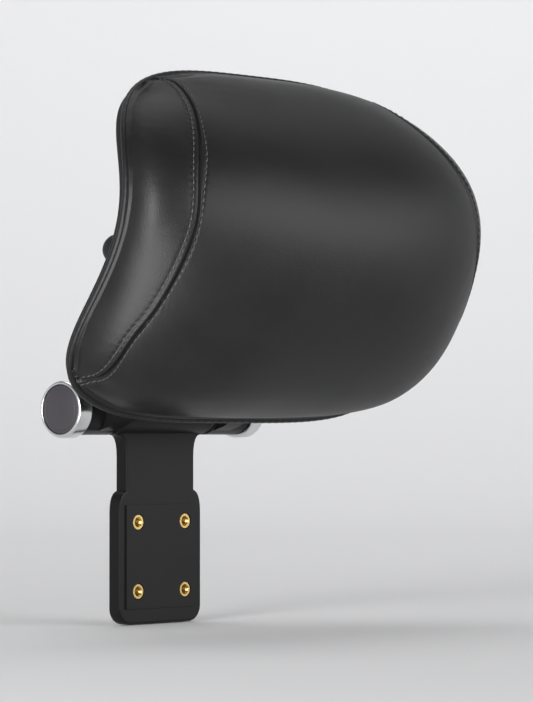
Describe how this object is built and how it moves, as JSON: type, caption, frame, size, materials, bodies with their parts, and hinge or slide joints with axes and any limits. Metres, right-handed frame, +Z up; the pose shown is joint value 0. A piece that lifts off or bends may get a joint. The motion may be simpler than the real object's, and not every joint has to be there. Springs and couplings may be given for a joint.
{
  "type": "chair headrest attachment",
  "caption": "Padded leather head cushion with side gussets and a black back shell, on a friction tilt hinge whose neck bracket screws to the top of a chair's backrest.",
  "frame": {"origin": "middle of the neck bracket's flat mounting face, which is screwed to the backrest's frame", "axes": "+X to the sitter's left, +Y to the back of the chair, +Z up; the hinge axis is along X"},
  "size_m": [0.296, 0.1779, 0.315],
  "materials": {
    "leather": "fine-grained black synthetic leather, semi-matt with a soft sheen",
    "piping_leather": "the same leather rolled over a cord",
    "foam": "moulded open-cell polyurethane foam",
    "plywood": "bent plywood, bare",
    "shell_plastic": "fine moulded texture, black",
    "bracket_plastic": "glass-filled nylon, black, smooth satin",
    "nylon": "natural nylon",
    "screw_steel": "black zinc",
    "hinge_steel": "bright zinc",
    "friction_fibre": "pressed fibre",
    "silver": "satin bright plating",
    "disc_plastic": "dark grey with a trace of mauve, satin",
    "brass": "turned, bare"
  },
  "bodies": {
    "neck": {"neck_bracket": "bracket_plastic", "mount_insert_1": "brass", "mount_insert_2": "brass", "mount_insert_3": "brass", "mount_insert_4": "brass", "hinge_shaft": "hinge_steel", "friction_washer_left": "friction_fibre", "friction_washer_right": "friction_fibre", "thrust_washer_left": "hinge_steel", "thrust_washer_right": "hinge_steel", "disc_spring_left": "hinge_steel", "disc_spring_right": "hinge_steel", "shaft_nut_left": "hinge_steel", "shaft_nut_right": "hinge_steel", "end_ring_left": "silver", "end_ring_right": "silver", "end_disc_left": "disc_plastic", "end_disc_right": "disc_plastic"},
    "headrest": {"foam_core": "foam", "inner_board": "plywood", "cover_face_panel": "leather", "cover_gusset_left": "leather", "cover_gusset_right": "leather", "rear_piping": "piping_leather", "staple_strip": "leather", "back_shell": "shell_plastic", "hinge_lug_left": "bracket_plastic", "hinge_lug_right": "bracket_plastic", "hinge_bush_left": "nylon", "hinge_bush_right": "nylon", "lug_screw_1": "screw_steel", "lug_screw_2": "screw_steel", "lug_screw_3": "screw_steel", "lug_screw_4": "screw_steel", "side_screw_left": "screw_steel", "side_screw_right": "screw_steel", "screw_cap_left": "shell_plastic", "screw_cap_right": "shell_plastic"}
  },
  "joints": [
    {"name": "headrest_tilt", "type": "hinge", "parent": "neck", "child": "headrest", "pos_m": [0, 0.0055, 0.085], "axis": [1, 0, 0], "range_deg": [-25, 15]}
  ]
}
